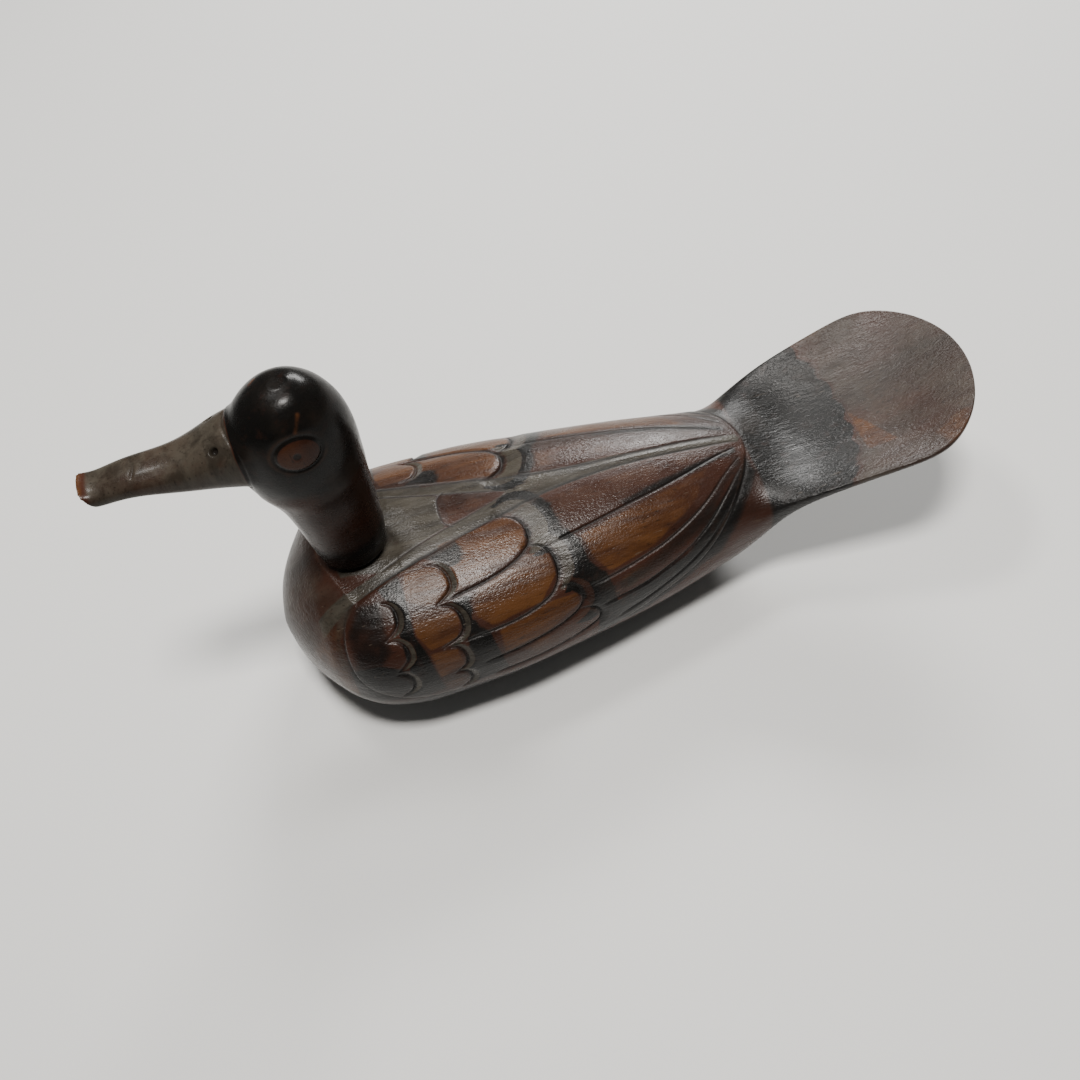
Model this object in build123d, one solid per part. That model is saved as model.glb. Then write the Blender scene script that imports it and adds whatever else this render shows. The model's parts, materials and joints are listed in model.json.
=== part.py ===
from build123d import *
import os
from math import cos, pi, sin, sqrt

# Carved wooden duck whose tail is a long scoop: a shoehorn that also stands as an ornament.
# Millimetres. +Z up, +X from the duck's breast towards the tip of its scoop, the duck's left
# side towards -Y. The origin is the centre of the flat that the belly rests on.

# --- Body: one carved block, from the breast to the waist ---
BREAST_REACH = 73.5        # from the origin forward to the breast
WAIST_REACH = 84.0         # from the origin back to the waist, where the scoop begins
BODY_WIDTH = 83.4
BODY_HEIGHT = 54.5
BELLY_SANDED = 1.5         # how much of the round belly is sanded off to make the resting flat
FULLNESS = 2.16            # 2 is an ellipse, more is squarer
BODY_SIDE = 3.0            # the upright strip along the body's widest line

# --- Scoop: the thin concave blade behind the waist ---
SCOOP_LENGTH = 72.5        # waist to tip
SCOOP_WIDTH = 63.6
SCOOP_TIP_ROUND = 24.5     # how far the round end reaches back from the tip
SCOOP_TIP_HEIGHT = 56.5    # the tip's upper edge above the resting flat
WAIST_RIM_HEIGHT = 36.5    # the widest line at the waist
TROUGH_DEPTH = 7.8         # rim to the bottom of the trough, where it is deepest
WAIST_THICKNESS = 27.0     # wood under the middle of the waist
RIM_THICKNESS = 4.6        # edge of the blade at the waist
LIP_THICKNESS = 1.7        # edge of the blade at its tip

# --- Seat and peg ---
SEAT_FORWARD = 43.3        # from the origin forward to the peg's axis
SEAT_SUNK = 0.6            # the seat's flat below the highest part of the back
SEAT_MARGIN = 6.5          # flat left round the neck's foot
SEAT_GAP = 0.15            # between the neck's foot and the seat
PEG_DIAMETER = 8.0
PEG_IN_BODY = 20.0
PEG_IN_NECK = 24.0
PEG_CHAMFER = 0.8
PEG_RUNNING_CLEARANCE = 0.05   # radial, in the body, so that the head turns
PEG_TAP_FIT = 0.02             # radial, in the neck, so that the peg turns with the head
HOLE_END_ROOM = 1.0            # each hole is this much deeper than the peg

# --- Neck, head and bill ---
NECK_FOOT_DIAMETER = 21.0
NECK_FOOT_ROUND = 2.6
HEAD_RISE = 75.4           # neck's foot to the crown
FOREHEAD_REACH = 20.3      # from the peg's axis forward to the forehead
NAPE_REACH = 14.5          # from the peg's axis back to the nape
HEAD_WIDTH = 28.0
BILL_REACH = 35.5          # from the forehead to the bill's blunt end
BILL_BELOW_CROWN = 19.6    # the bill's centre line below the crown
BILL_TIP_WIDTH = 11.0
BILL_TIP_THICKNESS = 5.4
BILL_BASE_WIDTH = 19.5
BILL_BASE_THICKNESS = 18.5
BILL_SQUARENESS = 2.4      # 2 is an ellipse
BILL_END_SLANT = 30.0      # degrees that the blunt end leans back towards its underside

# --- Worked out from the sizes above ---
SEAT_Z = BODY_HEIGHT - SEAT_SUNK
FOOT_Z = SEAT_Z + SEAT_GAP
CROWN_Z = FOOT_Z + HEAD_RISE
BILL_Z = CROWN_Z - BILL_BELOW_CROWN
PEG_X = -SEAT_FORWARD
TIP_X = WAIST_REACH + SCOOP_LENGTH
FOREHEAD_X = PEG_X - FOREHEAD_REACH

# --- How finely the carved shapes are sliced ---
BLOCK_SLICES = 34
HEAD_SLICES = 18
CURVE_STEPS = 12           # steps along one half of a slice's outline

# Body, breast first: share of the way from breast to waist, share of the half width, and heights
# of the back and of the underside before sanding as shares of the body's height.
BODY_STATIONS = [
    (0.001, 0.07, 0.50, 0.38),
    (0.018, 0.30, 0.68, 0.24),
    (0.048, 0.52, 0.80, 0.155),
    (0.095, 0.755, 0.915, 0.085),
    (0.165, 0.935, 0.985, 0.030),
    (0.255, 1.000, 1.000, 0.003),
    (0.405, 0.988, 0.985, 0.000),
    (0.565, 0.905, 0.968, 0.000),
    (0.725, 0.790, 0.945, 0.012),
    (0.850, 0.690, 0.900, 0.080),
    (0.935, 0.620, 0.850, 0.170),
]
# Scoop, waist first: share of the way to the tip, share of the half width, rim's share of the
# climb from waist to tip, depth in trough depths, and wood below it as a share of the waist's.
# The first row has the end of the duck's back above its rim, so its depth is negative. The last
# rows are wider and longer than the blade, and the round end trims them.
SCOOP_STATIONS = [
    (0.000, 0.792, 0.000, -0.90, 1.000),
    (0.130, 0.846, 0.285, 0.50, 0.500),
    (0.276, 0.893, 0.460, 0.90, 0.270),
    (0.469, 0.953, 0.630, 1.00, 0.130),
    (0.676, 1.002, 0.775, 0.84, 0.060),
    (0.855, 1.030, 0.945, 0.56, 0.025),
    (1.000, 1.050, 1.045, 0.12, 0.005),
    (1.080, 1.060, 1.110, 0.03, 0.000),
]
# Neck and head, foot first: share of the rise, then the shares of the neck's foot radius and of
# the reach to the forehead, the reach to the nape and the half width that are added to it.
HEAD_STATIONS = [
    (0.000, 1.00, 0.000, 0.000, 0.000),
    (0.105, 0.90, 0.091, 0.153, 0.111),
    (0.237, 0.78, 0.202, 0.290, 0.229),
    (0.342, 0.66, 0.314, 0.406, 0.348),
    (0.434, 0.50, 0.470, 0.548, 0.496),
    (0.513, 0.28, 0.705, 0.739, 0.704),
    (0.605, 0.00, 0.965, 0.980, 0.970),
    (0.710, 0.00, 1.000, 1.000, 1.000),
    (0.800, 0.00, 0.950, 0.955, 0.985),
    (0.880, 0.00, 0.813, 0.820, 0.880),
    (0.947, 0.00, 0.580, 0.590, 0.665),
    (0.982, 0.00, 0.360, 0.360, 0.430),
    (0.998, 0.00, 0.150, 0.170, 0.180),
]
# Bill: share of the way from the forehead to its end, lift of the centre line in millimetres,
# and how much of the base's extra size is left.
BILL_STATIONS = [
    (-0.30, 0.9, 1.12), (0.00, 0.9, 0.98), (0.12, 0.7, 0.76), (0.28, 0.4, 0.51),
    (0.50, 1.0, 0.28), (0.75, 2.0, 0.11), (1.10, 3.3, 0.00),
]


def slopes_of(spots, values):
    """Slopes that carry a smooth curve through the values with no overshoot between them."""
    steps = [(b - a, (v - u) / (b - a))
             for a, b, u, v in zip(spots, spots[1:], values, values[1:])]
    slopes = [steps[0][1]]
    for (h0, d0), (h1, d1) in zip(steps, steps[1:]):
        if d0 * d1 <= 0:
            slopes.append(0.0)
        else:
            w0, w1 = 2 * h1 + h0, h1 + 2 * h0
            slopes.append((w0 + w1) / (w0 / d0 + w1 / d1))
    return slopes + [steps[-1][1]]


def smooth_rows(rows, spots, count):
    """Slices the table evenly: every column follows its own smooth curve along the spots."""
    columns = list(zip(*rows))
    slopes = [slopes_of(spots, column) for column in columns]
    result = []
    for i in range(count):
        spot = spots[0] + (spots[-1] - spots[0]) * i / (count - 1)
        k = max(j for j in range(len(spots) - 1) if spots[j] <= spot)
        h = spots[k + 1] - spots[k]
        t = (spot - spots[k]) / h
        result.append([
            column[k] * (1 + 2 * t) * (1 - t) ** 2 + slope[k] * h * t * (1 - t) ** 2
            + column[k + 1] * t * t * (3 - 2 * t) + slope[k + 1] * h * t * t * (t - 1)
            for column, slope in zip(columns, slopes)])
    return result


def half_outline(x, half_width, edge_z, rise, power, direction):
    """Half of a slice's outline, from one side to the other, arching by rise in between."""
    points = []
    for i in range(CURVE_STEPS + 1):
        c, s = cos(pi * i / CURVE_STEPS), sin(pi * i / CURVE_STEPS)
        y = half_width * (1 if c >= 0 else -1) * abs(c) ** min(power, 1.0)
        points.append(Vector(x, direction * y, edge_z + rise * max(s, 0.0) ** power))
    return Spline(*points)


def cross_slice(x, half_width, rim_z, side, top_z, under_z, power):
    """A closed face across X: the upper outline, an upright side, the lower one, a side."""
    upper = half_outline(x, half_width, rim_z, top_z - rim_z, power, 1)
    lower = half_outline(x, half_width, rim_z - side, under_z - rim_z + side, power, -1)
    return Face(Wire([upper, Line(upper @ 1, lower @ 0), lower, Line(lower @ 1, upper @ 0)]))


def body_rows():
    """Body stations in millimetres: x, half width, rim, side, top, underside, power."""
    for along, width, top, under in BODY_STATIONS:
        half = width * BODY_WIDTH / 2
        top_z = top * BODY_HEIGHT
        under_z = under * BODY_HEIGHT - BELLY_SANDED
        side = min(BODY_SIDE, half / 4)
        x = along * (BREAST_REACH + WAIST_REACH) - BREAST_REACH
        yield x, half, (top_z + under_z + side) / 2, side, top_z, under_z, 2 / FULLNESS


def scoop_rows():
    """Scoop stations in millimetres, with the same columns as the body's."""
    for along, width, climb, depth, wood in SCOOP_STATIONS:
        rim = WAIST_RIM_HEIGHT + climb * (SCOOP_TIP_HEIGHT - WAIST_RIM_HEIGHT)
        top_z = rim - depth * TROUGH_DEPTH
        side = LIP_THICKNESS + sqrt(wood) * (RIM_THICKNESS - LIP_THICKNESS)
        under_z = top_z - LIP_THICKNESS - wood * (WAIST_THICKNESS - LIP_THICKNESS)
        power = 2 / FULLNESS if depth < 0 else 2.0
        x = WAIST_REACH + along * SCOOP_LENGTH
        yield x, width * SCOOP_WIDTH / 2, rim, side, top_z, under_z, power


def round_end():
    """The plan that trims the scoop: open room ahead of its widest part, half an ellipse after."""
    height = 3 * (BODY_HEIGHT + SCOOP_TIP_HEIGHT)
    ahead = Box(4 * (BREAST_REACH + WAIST_REACH), 3 * (BODY_WIDTH + SCOOP_WIDTH), height,
                align=(Align.MAX, Align.CENTER, Align.CENTER))
    end = extrude(Plane.XY * Ellipse(SCOOP_TIP_ROUND, SCOOP_WIDTH / 2), height / 2, both=True)
    return Pos(TIP_X - SCOOP_TIP_ROUND, 0, 0) * (ahead + end)


def seat_cut():
    """The flat round seat in the back, and the hole for the peg below it."""
    seat = Pos(PEG_X, 0, SEAT_Z) * Cylinder(
        NECK_FOOT_DIAMETER / 2 + SEAT_MARGIN, BODY_HEIGHT,
        align=(Align.CENTER, Align.CENTER, Align.MIN))
    hole = Pos(PEG_X, 0, SEAT_Z) * Cylinder(
        PEG_DIAMETER / 2 + PEG_RUNNING_CLEARANCE, PEG_IN_BODY + HOLE_END_ROOM,
        align=(Align.CENTER, Align.CENTER, Align.MAX))
    return seat + hole


def duck_body():
    """Breast, back, belly, wings and scoop, all one block of wood."""
    rows = [*body_rows(), *scoop_rows()]
    spots = [sqrt(row[0] + BREAST_REACH) for row in rows]
    block = loft([cross_slice(*row) for row in smooth_rows(rows, spots, BLOCK_SLICES)])
    below = Box(6 * BREAST_REACH, 3 * BODY_WIDTH, 10 * BELLY_SANDED,
                align=(Align.CENTER, Align.CENTER, Align.MAX))
    return block & round_end() - below - seat_cut()


def neck_and_skull():
    """Neck and head as one stack of level ovals, from the foot to the crown."""
    rows = []
    for up, neck, forehead, nape, width in HEAD_STATIONS:
        foot = neck * NECK_FOOT_DIAMETER / 2
        rows.append((FOOT_Z + up * HEAD_RISE, foot + forehead * FOREHEAD_REACH,
                     foot + nape * NAPE_REACH, foot + width * HEAD_WIDTH / 2))
    spots = [1 - sqrt(1 - row[0]) for row in HEAD_STATIONS]
    ovals = [Pos(PEG_X + (back - front) / 2, 0, z) * Ellipse((front + back) / 2, half)
             for z, front, back, half in smooth_rows(rows, spots, HEAD_SLICES)]
    column = loft(ovals)
    return fillet(column.edges().group_by(Axis.Z)[0], NECK_FOOT_ROUND)


def bill():
    """The bill, from inside the head to its blunt, slanting end."""
    slices = []
    for along, lift, extra in BILL_STATIONS:
        half = (BILL_TIP_WIDTH + extra * (BILL_BASE_WIDTH - BILL_TIP_WIDTH)) / 2
        thick = BILL_TIP_THICKNESS + extra * (BILL_BASE_THICKNESS - BILL_TIP_THICKNESS)
        side = 0.1 * thick
        z = BILL_Z + lift
        slices.append(cross_slice(FOREHEAD_X - along * BILL_REACH, half, z + side / 2, side,
                                  z + thick / 2, z - thick / 2, 2 / BILL_SQUARENESS))
    beyond = Box(BILL_REACH, 3 * BILL_BASE_WIDTH, 6 * BILL_BASE_THICKNESS,
                 align=(Align.MAX, Align.CENTER, Align.CENTER))
    end_x = FOREHEAD_X - BILL_REACH
    return loft(slices) - Pos(end_x, 0, BILL_Z) * Rot(0, -BILL_END_SLANT, 0) * beyond


def head_and_neck():
    """The head with its neck and bill, and the hole that takes the peg."""
    hole = Pos(PEG_X, 0, FOOT_Z) * Cylinder(
        PEG_DIAMETER / 2 - PEG_TAP_FIT, PEG_IN_NECK + HOLE_END_ROOM,
        align=(Align.CENTER, Align.CENTER, Align.MIN))
    return neck_and_skull() + bill() - hole


def neck_peg():
    """A plain round dowel with both ends chamfered."""
    length = PEG_IN_BODY + SEAT_GAP + PEG_IN_NECK
    dowel = Pos(PEG_X, 0, SEAT_Z - PEG_IN_BODY) * Cylinder(
        PEG_DIAMETER / 2, length, align=(Align.CENTER, Align.CENTER, Align.MIN))
    return chamfer(dowel.edges().filter_by(GeomType.CIRCLE), PEG_CHAMFER)


PIECES = {"duck_body": duck_body, "head_and_neck": head_and_neck, "neck_peg": neck_peg}

os.makedirs("parts", exist_ok=True)
for name, make in PIECES.items():
    piece = make()
    print(name, "solids", len(piece.solids()), "volume", round(piece.volume), piece.bounding_box())
    export_step(piece, f"parts/{name}.step")
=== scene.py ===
# %% [markdown]
# # A carved duck shoehorn
# The object is a resting duck, carved from one block of dark hardwood whose tail runs out into a thin
# scoop. A separately carved head and neck stands on a peg. The design frame holds the sizes, and these
# cells rebuild its two plain wooden pieces with their carving, stain and polish.
# %% Load the frame
import json
import math
import bpy
import numpy as np
from mathutils import Matrix, Vector
from mathutils.bvhtree import BVHTree

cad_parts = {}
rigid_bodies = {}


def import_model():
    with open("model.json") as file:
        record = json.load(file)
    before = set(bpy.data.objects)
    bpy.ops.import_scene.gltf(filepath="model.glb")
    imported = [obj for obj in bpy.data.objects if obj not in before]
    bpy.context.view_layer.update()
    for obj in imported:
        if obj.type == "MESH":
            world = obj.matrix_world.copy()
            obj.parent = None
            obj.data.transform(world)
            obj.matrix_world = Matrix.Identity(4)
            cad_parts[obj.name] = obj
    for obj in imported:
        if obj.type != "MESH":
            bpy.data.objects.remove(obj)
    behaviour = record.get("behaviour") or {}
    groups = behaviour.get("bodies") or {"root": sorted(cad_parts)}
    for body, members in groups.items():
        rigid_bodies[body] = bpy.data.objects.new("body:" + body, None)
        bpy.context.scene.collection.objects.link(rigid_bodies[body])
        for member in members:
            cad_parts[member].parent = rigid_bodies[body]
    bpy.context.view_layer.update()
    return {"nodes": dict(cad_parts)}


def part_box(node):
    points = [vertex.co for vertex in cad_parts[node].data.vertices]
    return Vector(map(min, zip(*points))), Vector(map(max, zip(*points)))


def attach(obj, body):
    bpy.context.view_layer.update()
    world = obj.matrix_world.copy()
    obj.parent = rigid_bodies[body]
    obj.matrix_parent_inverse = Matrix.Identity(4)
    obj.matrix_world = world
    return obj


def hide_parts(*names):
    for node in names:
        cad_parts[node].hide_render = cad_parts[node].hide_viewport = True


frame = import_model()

MM = 0.001

# %% [markdown]
# ## Sections of the body
# Carving is easiest to describe on a chart: one number along the duck, one number around it. So the
# body is sliced across its length, each slice is split at the widest points into a top and an underside
# chain, and every chain is divided evenly by length. The slices become the rings of a fine grid.


# %% Read a CAD piece as merged triangles, in millimetres
def cad_triangles(node):
    mesh = frame["nodes"][node].data
    mesh.calc_loop_triangles()
    places = np.empty(len(mesh.vertices) * 3)
    mesh.vertices.foreach_get("co", places)
    corners = np.empty(len(mesh.loop_triangles) * 3, dtype=np.int64)
    mesh.loop_triangles.foreach_get("vertices", corners)
    points, merged = np.unique(np.round(places.reshape(-1, 3) / MM, 4), axis=0, return_inverse=True)
    return points, merged.ravel()[corners].reshape(-1, 3)


body_points, body_faces = cad_triangles("duck_body")
print("duck_body:", len(body_points), "points,", len(body_faces), "triangles")


# %% Cut the triangles at one place along the length
def closed_slice(points, faces, x):
    side = points[:, 0] > x
    above = side[faces].sum(axis=1)
    step = {}
    for face in faces[(above == 1) | (above == 2)]:
        alone_above = side[face].sum() == 1
        lone = int(np.argmax(side[face] == alone_above))
        a, b, c = face[lone], face[(lone + 1) % 3], face[(lone + 2) % 3]
        first, second = (min(a, b), max(a, b)), (min(a, c), max(a, c))
        if alone_above:
            step[first] = second
        else:
            step[second] = first
    loops = []
    while step:
        start, key = step.popitem()
        loop = [start]
        while key in step:
            loop.append(key)
            key = step.pop(key)
        loops.append(loop + [key])
    keys = np.array(max(loops, key=len))
    low, high = points[keys[:, 0]], points[keys[:, 1]]
    share = (x - low[:, 0]) / (high[:, 0] - low[:, 0])
    return (low + (high - low) * share[:, None])[:, 1:]


BREAST_SLICE = -30.013
print("points in the slice at the breast:", len(closed_slice(body_points, body_faces, BREAST_SLICE)))

# %% Where the rings stand along the duck
BREAST_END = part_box("duck_body")[0][0] / MM
SCOOP_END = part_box("duck_body")[1][0] / MM
CARVED_FROM, CARVED_TO = -60.0, 88.0
CARVED_RINGS, PLAIN_RINGS, END_RINGS = 440, 80, 36
SCOOP_ROUND = 13.5
END_SLIVER = 0.012
OFF_THE_CORNERS = 0.0007

squares = (np.arange(1, END_RINGS + 1) / END_RINGS) ** 2
ring_places = np.concatenate([
    BREAST_END + END_SLIVER + (CARVED_FROM - BREAST_END) * squares[:-1],
    np.linspace(CARVED_FROM, CARVED_TO, CARVED_RINGS, endpoint=False),
    np.linspace(CARVED_TO, SCOOP_END - SCOOP_ROUND, PLAIN_RINGS, endpoint=False),
    (SCOOP_END - END_SLIVER - SCOOP_ROUND * squares)[::-1],
]) + OFF_THE_CORNERS
print(len(ring_places), "rings from", round(ring_places[0], 2), "to", round(ring_places[-1], 2))

# %% The seat for the neck, and the peg
FOOT_GAP = 0.15
SEAT_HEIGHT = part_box("head_and_neck")[0][2] / MM - FOOT_GAP
PEG_X = (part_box("neck_peg")[0][0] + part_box("neck_peg")[1][0]) / 2 / MM
PEG_RADIUS = (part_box("neck_peg")[1][0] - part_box("neck_peg")[0][0]) / 2 / MM
print("seat at", round(SEAT_HEIGHT, 2), "mm, peg of", round(PEG_RADIUS, 2), "mm radius at x", round(PEG_X, 2))

# %% Divide one slice into the columns of the grid
HALF_TOP, UNDERSIDE = 180, 80
SLICE_POINTS = 1600
HOLE_MARGIN, HOLE_BELOW = 0.6, 20
RIM_CROWDING = 0.6


def spread(chain, shares):
    lengths = np.concatenate([[0], np.cumsum(np.linalg.norm(np.diff(chain, axis=0), axis=1))])
    wanted = shares * lengths[-1]
    return np.column_stack([np.interp(wanted, lengths, chain[:, k]) for k in (0, 1)]), wanted


def rim_index(loop, way):
    reach = (loop[:, 0] * way).max()
    near = loop[:, 0] * way > reach - 0.05
    middle = (loop[near, 1].max() + loop[near, 1].min()) / 2
    return int(np.argmin((reach - loop[:, 0] * way) * 10 + abs(loop[:, 1] - middle)))


def ring_of(x):
    loop = closed_slice(body_points, body_faces, x)
    if abs(x - PEG_X) < PEG_RADIUS + 0.5:
        loop = loop[(abs(loop[:, 0]) > PEG_RADIUS + HOLE_MARGIN) | (loop[:, 1] < HOLE_BELOW)]
    loop, _ = spread(np.vstack([loop, loop[:1]]), np.linspace(0, 1, SLICE_POINTS, endpoint=False))
    loop = np.roll(loop, -rim_index(loop, 1), axis=0)
    turn = rim_index(loop, -1)
    first, second = loop[:turn + 1], np.vstack([loop[turn:], loop[:1]])
    if first[:, 1].mean() < second[:, 1].mean():
        first, second = second[::-1], first[::-1]
    crest = int(np.flatnonzero((first[:-1, 0] > 0) & (first[1:, 0] <= 0))[0])
    share = first[crest, 0] / (first[crest, 0] - first[crest + 1, 0])
    top = first[crest] + (first[crest + 1] - first[crest]) * share
    far, far_run = spread(np.vstack([top, first[:crest + 1][::-1]]), np.linspace(0, 1, HALF_TOP + 1))
    near, near_run = spread(np.vstack([top, first[crest + 1:]]), np.linspace(0, 1, HALF_TOP + 1))
    shares = np.linspace(0, 1, UNDERSIDE + 2)
    shares = shares - np.sin(2 * math.pi * shares) / (2 * math.pi) * RIM_CROWDING
    under, run = spread(second[::-1], shares)
    beneath = np.where(run < run[-1] / 2, -far_run[-1] - run, near_run[-1] + run[-1] - run)
    places = np.vstack([near[::-1][:-1], far, under[1:-1]])
    around = np.concatenate([near_run[::-1][:-1], -far_run, beneath[1:-1]])
    return places, around


print("a ring has", 2 * HALF_TOP + 1, "points over the back and", UNDERSIDE, "beneath")

# %% Slice the whole body into the grid
rings = [ring_of(x) for x in ring_places]
grid = np.array([np.column_stack([np.full(len(places), x), places])
                 for x, (places, around) in zip(ring_places, rings)])
around = np.array([around for places, around in rings])
print("grid:", grid.shape, "widest run from the crest, mm:", round(float(around.max()), 1))

# %% [markdown]
# ## A smooth blank
# The slices come from small flat triangles, and on a polished surface the eye finds every one. Each ring
# point is averaged with its neighbours a few times, along the duck and around it. The weights follow the
# real distances, so a straight slope stays straight, and the rims and the two ends stay where they are.


# %% Smooth the grid, keeping the rims
TOP_COLUMNS = 2 * HALF_TOP + 1
ALONG_PASSES, TOP_PASSES, UNDERSIDE_PASSES = 94, 80, 6
CALM_RINGS, CALM_END = 24, 0.3
SEAT_SINK, RAMP_FROM, RAMP_SLOPE = 0.02, -27, 0.12


def smooth_along(values, passes):
    before = np.diff(ring_places)[:-1]
    after = np.diff(ring_places)[1:]
    share = (after / (before + after))[:, None, None]
    rows = np.arange(1, len(ring_places) - 1)
    from_end = np.minimum(rows, len(ring_places) - 1 - rows)
    calm = np.clip(from_end / CALM_RINGS - CALM_END, 0, 1)[:, None, None] * 0.5
    for _ in range(passes):
        middle = values[1:-1]
        mean = values[:-2] * share + values[2:] * (1 - share)
        values[1:-1] = middle + (mean - middle) * calm
    return values


def smooth_around(values, part, passes):
    strip = values[:, part]
    for _ in range(passes):
        strip[:, 1:-1] += (strip[:, :-2] + strip[:, 2:] - 2 * strip[:, 1:-1]) * 0.25


grid = smooth_along(grid, ALONG_PASSES)
smooth_around(grid, slice(0, TOP_COLUMNS), TOP_PASSES)
smooth_around(grid, slice(TOP_COLUMNS, None), UNDERSIDE_PASSES)
around = smooth_along(around[:, :, None], ALONG_PASSES)[:, :, 0]
seat_ramp = SEAT_HEIGHT - SEAT_SINK + np.clip(grid[:, :, 0] - RAMP_FROM, 0, None) * RAMP_SLOPE
grid[:, :, 2] = np.minimum(grid[:, :, 2], seat_ramp)
heights = grid[:, :, 2]
print("the blank stands from", round(float(heights.min()), 2), "to", round(float(heights.max()), 2), "mm")


# %% The direction in which a knife goes in
def grid_normals(places):
    along = np.gradient(places, axis=0)
    across = np.roll(places, -1, axis=1) - np.roll(places, 1, axis=1)
    normals = np.cross(along, across)
    return normals / np.maximum(np.linalg.norm(normals, axis=2, keepdims=True), 1e-9)


outward = grid_normals(grid)
print("the crest's normal points up:", outward[len(grid) // 3, HALF_TOP].round(2))

# %% [markdown]
# ## The carving chart
# A place on the body is now (x, w): millimetres along the duck, and millimetres from the middle line of
# the back, measured over the surface. The carver worked by eye, so that middle line sits a little to the
# far side of the crest. Both wings use the same lines, mirrored. Every line is a smooth curve through a
# few given places.

# %% The chart: x along the duck, v and w from its middle line
MIDDLE_DRIFT = 2.3
chart_x = np.repeat(ring_places[:, None], grid.shape[1], axis=1)
chart_v = around + MIDDLE_DRIFT
chart_w = abs(chart_v)
print("chart reaches, mm:", round(float(chart_w[:, :TOP_COLUMNS].max()), 1), "over the back")

# %% A smooth curve through a few places
STEP = 0.7


def with_ends(points):
    """The points, with one more beyond each end, so that a curve can pass through them all."""
    return np.vstack([2 * points[0] - points[1], points, 2 * points[-1] - points[-2]])


def between(a, b, c, d, t):
    """The place a share t of the way from b to c, on a smooth curve that comes from a and goes to d."""
    bend = 2 * a - 5 * b + 4 * c - d
    twist = 3 * b - a - 3 * c + d
    return 0.5 * (2 * b + (c - a) * t + bend * t ** 2 + twist * t ** 3)


def curve_through(points):
    points = np.array(points, dtype=float)
    padded = with_ends(points)
    out = []
    for a, b, c, d in zip(padded[:-3], padded[1:-2], padded[2:-1], padded[3:]):
        count = max(2, int(np.linalg.norm(c - b) / STEP))
        t = np.linspace(0, 1, count, endpoint=False)[:, None]
        out.append(between(a, b, c, d, t))
    return np.vstack(out + [points[-1:]])


print("a curved line has a point every", STEP, "mm")


# %% Distances to a carved line
def measure(line, reach):
    """Distance to the line, negative on its right, and the share of the way along it, near the line."""
    near = ((chart_x > line[:, 0].min() - reach) & (chart_x < line[:, 0].max() + reach)
            & (chart_w > line[:, 1].min() - reach) & (chart_w < line[:, 1].max() + reach))
    spots = np.column_stack([chart_x[near], chart_w[near]])
    best = np.full(len(spots), 1e9)
    signed = np.full(len(spots), 1e9)
    share = np.zeros(len(spots))
    for k, (a, b) in enumerate(zip(line[:-1], line[1:])):
        way = b - a
        t = np.clip(((spots - a) @ way) / (way @ way), 0, 1)
        offset = spots - a - t[:, None] * way
        distance = np.hypot(offset[:, 0], offset[:, 1])
        side = np.where(way[0] * offset[:, 1] - way[1] * offset[:, 0] > 0, 1.0, -1.0)
        closer = distance < best
        best[closer] = distance[closer]
        signed[closer] = (distance * side)[closer]
        share[closer] = (k + t[closer]) / (len(line) - 1)
    return near, signed, share


middle_line = curve_through([(CARVED_FROM, 0), (CARVED_TO, 0)])
print("places within 2 mm of the middle line:", int(measure(middle_line, 2.0)[0].sum()))

# %% [markdown]
# ## Two kinds of cut
# A feather's end is a stop cut: the knife goes straight down along the edge, and then a gouge slopes in
# from outside to meet it, which leaves a sloping crescent, painted paler as a painted highlight. Between
# feathers runs a plain V cut. Both leave a soft hollow beside them, because sandpaper rounds every edge,
# and that hollow makes feathers look full. Painted shade darkens each cut, and the raised edge of a stop
# cut is painted paler, partly wear and partly a painted highlight.

# %% Cut into the chart
cut_depth = np.zeros(chart_x.shape)
hollow = np.zeros(chart_x.shape)
painted_shade = np.zeros(chart_x.shape)
wear_and_highlight = np.zeros(chart_x.shape)
gouge_highlight = np.zeros(chart_x.shape)
WALL = 0.75
GOUGE_SHARE, GOUGE_CURVE = 0.85, 1.25
SANDED_REACH = 1.6


def fade_at_ends(share, length):
    return np.clip(np.minimum(share, 1 - share) / length, 0, 1) ** 0.6


def stop_cut(points, depth, width, ends=0.22, hollow_depth=0.0, pale=0.0):
    """The sloping side lies on the line's left. pale: how strongly the gouge's crescent is painted paler, as
    a painted highlight.
    """
    line = curve_through(points)
    near, signed, share = measure(line, width + 6)
    size = fade_at_ends(share, ends) if ends else np.ones_like(share)
    outside = np.clip(signed / np.maximum(width * size, 0.3), 0, 1)
    wall = np.clip((signed + WALL / 2) / WALL, 0, 1)
    profile = np.where(signed < WALL / 2, wall, (1 - outside) ** GOUGE_CURVE)
    inside = signed < width
    value = depth * size * profile * inside
    cut_depth[near] = np.maximum(cut_depth[near], value)
    sanded = np.exp(-np.clip(-signed, 0, None) / SANDED_REACH) * (signed < WALL / 2)
    hollow[near] += hollow_depth * size * sanded
    # Painted shade along the wall of the stop cut.
    painted_shade[near] = np.maximum(painted_shade[near], size * np.exp(-((signed - 0.25) / 0.55) ** 2))
    # The feather's raised edge painted paler: partly wear, partly a painted highlight.
    wear_and_highlight[near] = np.maximum(wear_and_highlight[near], size * np.exp(-((signed + 0.75) / 0.5) ** 2) * 0.35)
    # The gouge's crescent painted paler: a painted highlight.
    reached = np.clip((signed - 0.3) / (width * 0.3), 0, 1)
    reached = reached * np.clip((width * size * GOUGE_SHARE - signed) / 0.5, 0, 1)
    gouge_highlight[near] = np.maximum(gouge_highlight[near], pale * reached * np.clip(size * 2, 0, 1))


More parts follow.
